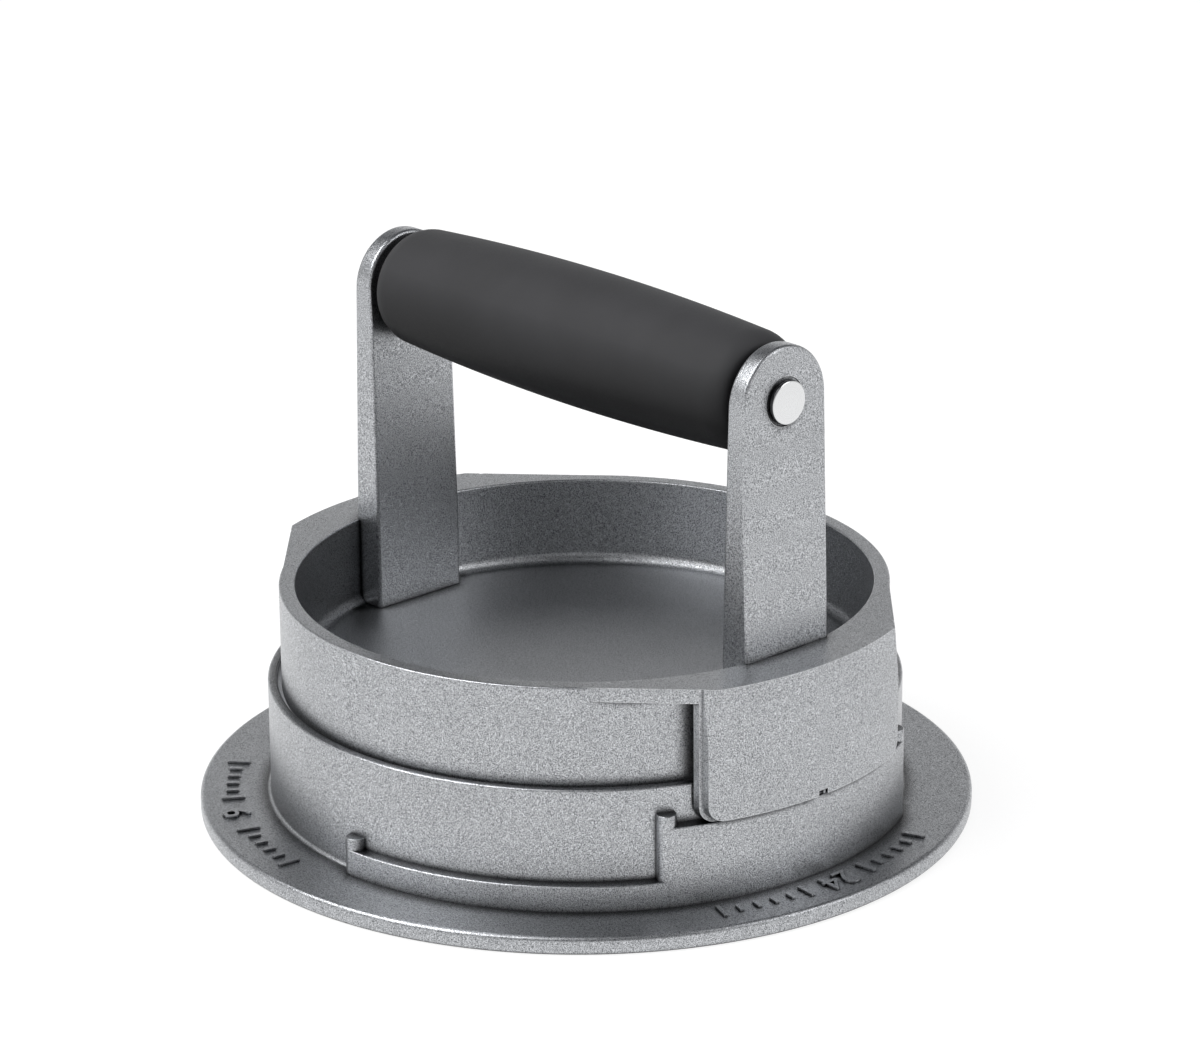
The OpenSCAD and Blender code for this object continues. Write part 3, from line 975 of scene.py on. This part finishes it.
# Grip
grip = {
    "midR": sleeveHigh.z - pinZ,
    "endR": 11.1 * mm,
    "faceR": 8.5 * mm,
    "round": 4.5 * mm,
    "coreR": 6 * mm,
    "boreR": 3.05 * mm,
    "coreEdge": 0.3 * mm,
    "bellySteps": 14,
    "roundSteps": 8,
    "segments": 160,
}


def gripBarrel():
    # a shallow belly, drawn in at each end to a smaller end face
    endX = sleeveHigh.x
    flankX = endX - grip["round"]
    half = []
    for i in range(grip["bellySteps"] + 1):
        share = i / grip["bellySteps"]
        half.append((grip["midR"] - (grip["midR"] - grip["endR"]) * share ** 2, flankX * share))
    drop = grip["endR"] - grip["faceR"]
    for i in range(1, grip["roundSteps"] + 1):
        angle = math.pi / 2 * i / grip["roundSteps"]
        half.append((grip["endR"] - drop * (1 - math.cos(angle)),
                     flankX + grip["round"] * math.sin(angle)))
    outline = [Vector(p) for p in half[::-1]]
    mirrored = [Vector((p[0], -p[1])) for p in half[1:]]
    bore = [Vector((grip["coreR"], -endX)), Vector((grip["coreR"], endX))]
    bm = alongX(spinSolid(outline + mirrored + bore, grip["segments"]))
    return finishPiece(makeObject("gripBarrel", bm), "grip", gripMaterial,
                       ["grip_sleeve"])


def gripCore():
    endX = coreHigh.x
    edge = grip["coreEdge"]
    corners = [(grip["boreR"], -endX, edge), (grip["coreR"], -endX, edge),
               (grip["coreR"], endX, edge), (grip["boreR"], endX, edge)]
    bm = alongX(spinSolid(roundCorners(corners, steps=3), hardware["segments"]))
    return finishPiece(makeObject("gripCoreTube", bm), "grip", coreMaterial,
                       ["grip_core"])


# Pin, cap and washers
hardware = {
    "pinR": 3 * mm,
    "headR": 4 * mm,
    "spigotR": 1.5 * mm,
    "spigot": 6 * mm,
    "headEdge": 0.35 * mm,
    "headDome": 0.12 * mm,
    "washerEdge": 0.2 * mm,
    "segments": 96,
}


def headCorners(seat, crown):
    # a head with a soft edge and a shallow crown, from its seat to its crown
    dome = hardware["headDome"] * (1 if crown > seat else -1)
    return [(hardware["headR"], seat, 0), (hardware["headR"], crown - dome, hardware["headEdge"]),
            (0, crown, 0)]


def handlePin():
    # the blind hole at its far end takes the cap's spigot
    seatX = arm["outerPin"] - arm["seatDepth"]
    holeX = hardware["spigot"] - seatX
    corners = [(0, holeX, 0), (hardware["spigotR"], holeX, 0), (hardware["spigotR"], -seatX, 0),
               (hardware["pinR"], -seatX, 0), (hardware["pinR"], seatX, 0)]
    corners += headCorners(seatX, pinHigh.x)
    bm = alongX(spinSolid(roundCorners(corners), hardware["segments"]))
    return finishPiece(makeObject("handlePin", bm), "press", pinMaterial,
                       ["handle_pin"])


def pinCap():
    seatX = arm["outerPin"] - arm["seatDepth"]
    tipX = capHigh.x
    corners = [(0, tipX, 0), (hardware["spigotR"], tipX, 0), (hardware["spigotR"], -seatX, 0)]
    corners += headCorners(-seatX, capLow.x)
    bm = alongX(spinSolid(roundCorners(corners), hardware["segments"]))
    return finishPiece(makeObject("pinCap", bm), "press", pinMaterial, ["pin_cap"])


def washer(name, node, side):
    inner, outer = sorted((side * washerLow.x, side * washerHigh.x))
    edge = hardware["washerEdge"]
    corners = [(hardware["pinR"], inner, 0), (washerHigh.y, inner, edge),
               (washerHigh.y, outer, edge), (hardware["pinR"], outer, 0)]
    bm = alongX(spinSolid(roundCorners(corners, steps=3), hardware["segments"]))
    return finishPiece(makeObject(name, bm), "press", washerMaterial, [node])


castMaterial = castAluminium()
gripMaterial = charcoalGrip()
coreMaterial = plainPlastic("gripCore", coreLook)
washerMaterial = plainPlastic("darkWasher", washerLook)
pinMaterial = polishedPin()
print("materials made")

mouldRing()
print("mould ring made")
pressCasting()
print("press casting made")
gripBarrel()
gripCore()
handlePin()
pinCap()
washer("washerRight", "right_washer", 1)
washer("washerLeft", "left_washer", -1)
print("grip, pin and washers made")


# Studio
camera = {
    "azimuth": math.radians(47.45),
    "elevation": math.radians(19.708),
    "roll": math.radians(-0.461),
    "distance": 881.1 * mm,
    "slideRight": 2.97 * mm,
    "slideUp": 51.22 * mm,
    "lens": 141.02,
    "sensor": 36,
    "near": 10 * mm,
    "far": 50,
}
studio = {
    "floorTone": 0.27,
    "floorLift": 0.85,  # added where the camera or the metal sees the floor
    "floorRadius": 6,
    "floorSides": 64,
    "horizon": (0.88, 0.88, 0.88),
    "overhead": (0.12, 0.123, 0.13),
    "horizonTop": 0.12,
    "overheadFrom": 0.5,
    "aimHeight": 40 * mm,
}
# azimuth and elevation in degrees, the first counted from the camera and positive to its right
softboxes = {
    "keyLeft": {"around": (-70, 52), "distance": 1.1, "size": (0.9, 0.8), "power": 11},
    "fillRight": {"around": (74, 36), "distance": 1.1, "size": (0.6, 0.8), "power": 3},
    "backSoft": {"around": (180, 24), "distance": 1.6, "size": (2.2, 0.6), "power": 1.3},
}


def towards(azimuth, elevation):
    # unit vector from the object, with azimuth counted from -Y to +X
    return Vector((math.sin(azimuth) * math.cos(elevation),
                   -math.cos(azimuth) * math.cos(elevation), math.sin(elevation)))


def addCamera():
    back = towards(camera["azimuth"], camera["elevation"])
    right = Vector((math.cos(camera["azimuth"]), math.sin(camera["azimuth"]), 0))
    up = back.cross(right)
    roll = camera["roll"]
    rolledRight = right * math.cos(roll) + up * math.sin(roll)
    rolledUp = up * math.cos(roll) - right * math.sin(roll)
    place = back * camera["distance"] + right * camera["slideRight"] + up * camera["slideUp"]
    data = bpy.data.cameras.new("photoCamera")
    data.lens = camera["lens"]
    data.sensor_width = camera["sensor"]
    data.sensor_fit = "HORIZONTAL"
    data.clip_start = camera["near"]
    data.clip_end = camera["far"]
    obj = bpy.data.objects.new("photoCamera", data)
    matrix = Matrix((rolledRight, rolledUp, back)).transposed().to_4x4()
    matrix.translation = place
    obj.matrix_world = matrix
    bpy.context.scene.collection.objects.link(obj)
    bpy.context.scene.camera = obj


def addSoftbox(name, around, distance, size, power):
    azimuth, elevation = [math.radians(degrees) for degrees in around]
    away = towards(camera["azimuth"] + azimuth, elevation)
    data = bpy.data.lights.new(name, "AREA")
    data.shape = "RECTANGLE"
    data.size, data.size_y = size
    data.energy = power
    obj = bpy.data.objects.new(name, data)
    obj.location = Vector((0, 0, studio["aimHeight"])) + away * distance
    obj.rotation_mode = "QUATERNION"
    obj.rotation_quaternion = (-away).to_track_quat("-Z", "Y")
    bpy.context.scene.collection.objects.link(obj)


def addFloor():
    # white to the camera and in the metal, and grey in the light that it gives back
    bm = bmesh.new()
    bmesh.ops.create_circle(bm, cap_ends=True, segments=studio["floorSides"],
                            radius=studio["floorRadius"])
    floor = makeObject("floor", bm)
    material = bpy.data.materials.new("paleFloor")
    material.use_nodes = True
    tree = material.node_tree
    tree.nodes.clear()
    tone = studio["floorTone"]
    diffuse = addNode(tree, "ShaderNodeBsdfDiffuse", {"Color": (tone, tone, tone, 1)})
    lift = addNode(tree, "ShaderNodeEmission", {"Color": (1, 1, 1, 1)})
    path = addNode(tree, "ShaderNodeLightPath")
    seen = math2(tree, "MAXIMUM", path.outputs["Is Camera Ray"], path.outputs["Is Glossy Ray"])
    seen = math2(tree, "MAXIMUM", seen, path.outputs["Is Transmission Ray"])
    tree.links.new(math2(tree, "MULTIPLY", seen, studio["floorLift"]), lift.inputs["Strength"])
    both = addNode(tree, "ShaderNodeAddShader")
    output = addNode(tree, "ShaderNodeOutputMaterial")
    tree.links.new(diffuse.outputs[0], both.inputs[0])
    tree.links.new(lift.outputs[0], both.inputs[1])
    tree.links.new(both.outputs[0], output.inputs["Surface"])
    floor.data.materials.append(material)


def addWorld():
    # as pale as the far floor near the horizon, and dim overhead
    world = bpy.data.worlds.new("studioWorld")
    world.use_nodes = True
    tree = world.node_tree
    tree.nodes.clear()
    coordinates = addNode(tree, "ShaderNodeTexCoord")
    apart = addNode(tree, "ShaderNodeSeparateXYZ")
    tree.links.new(coordinates.outputs["Generated"], apart.inputs[0])
    height = mapRange(tree, math2(tree, "ABSOLUTE", apart.outputs["Z"]),
                      studio["horizonTop"], studio["overheadFrom"])
    background = addNode(tree, "ShaderNodeBackground")
    tree.links.new(mixColour(tree, height, studio["horizon"], studio["overhead"]),
                   background.inputs["Color"])
    output = addNode(tree, "ShaderNodeOutputWorld")
    tree.links.new(background.outputs[0], output.inputs["Surface"])
    bpy.context.scene.world = world


addCamera()
addFloor()
addWorld()
for name, softbox in softboxes.items():
    addSoftbox(name, **softbox)
bpy.context.scene.view_settings.view_transform = "Standard"
print("studio made")

bpy.context.view_layer.update()
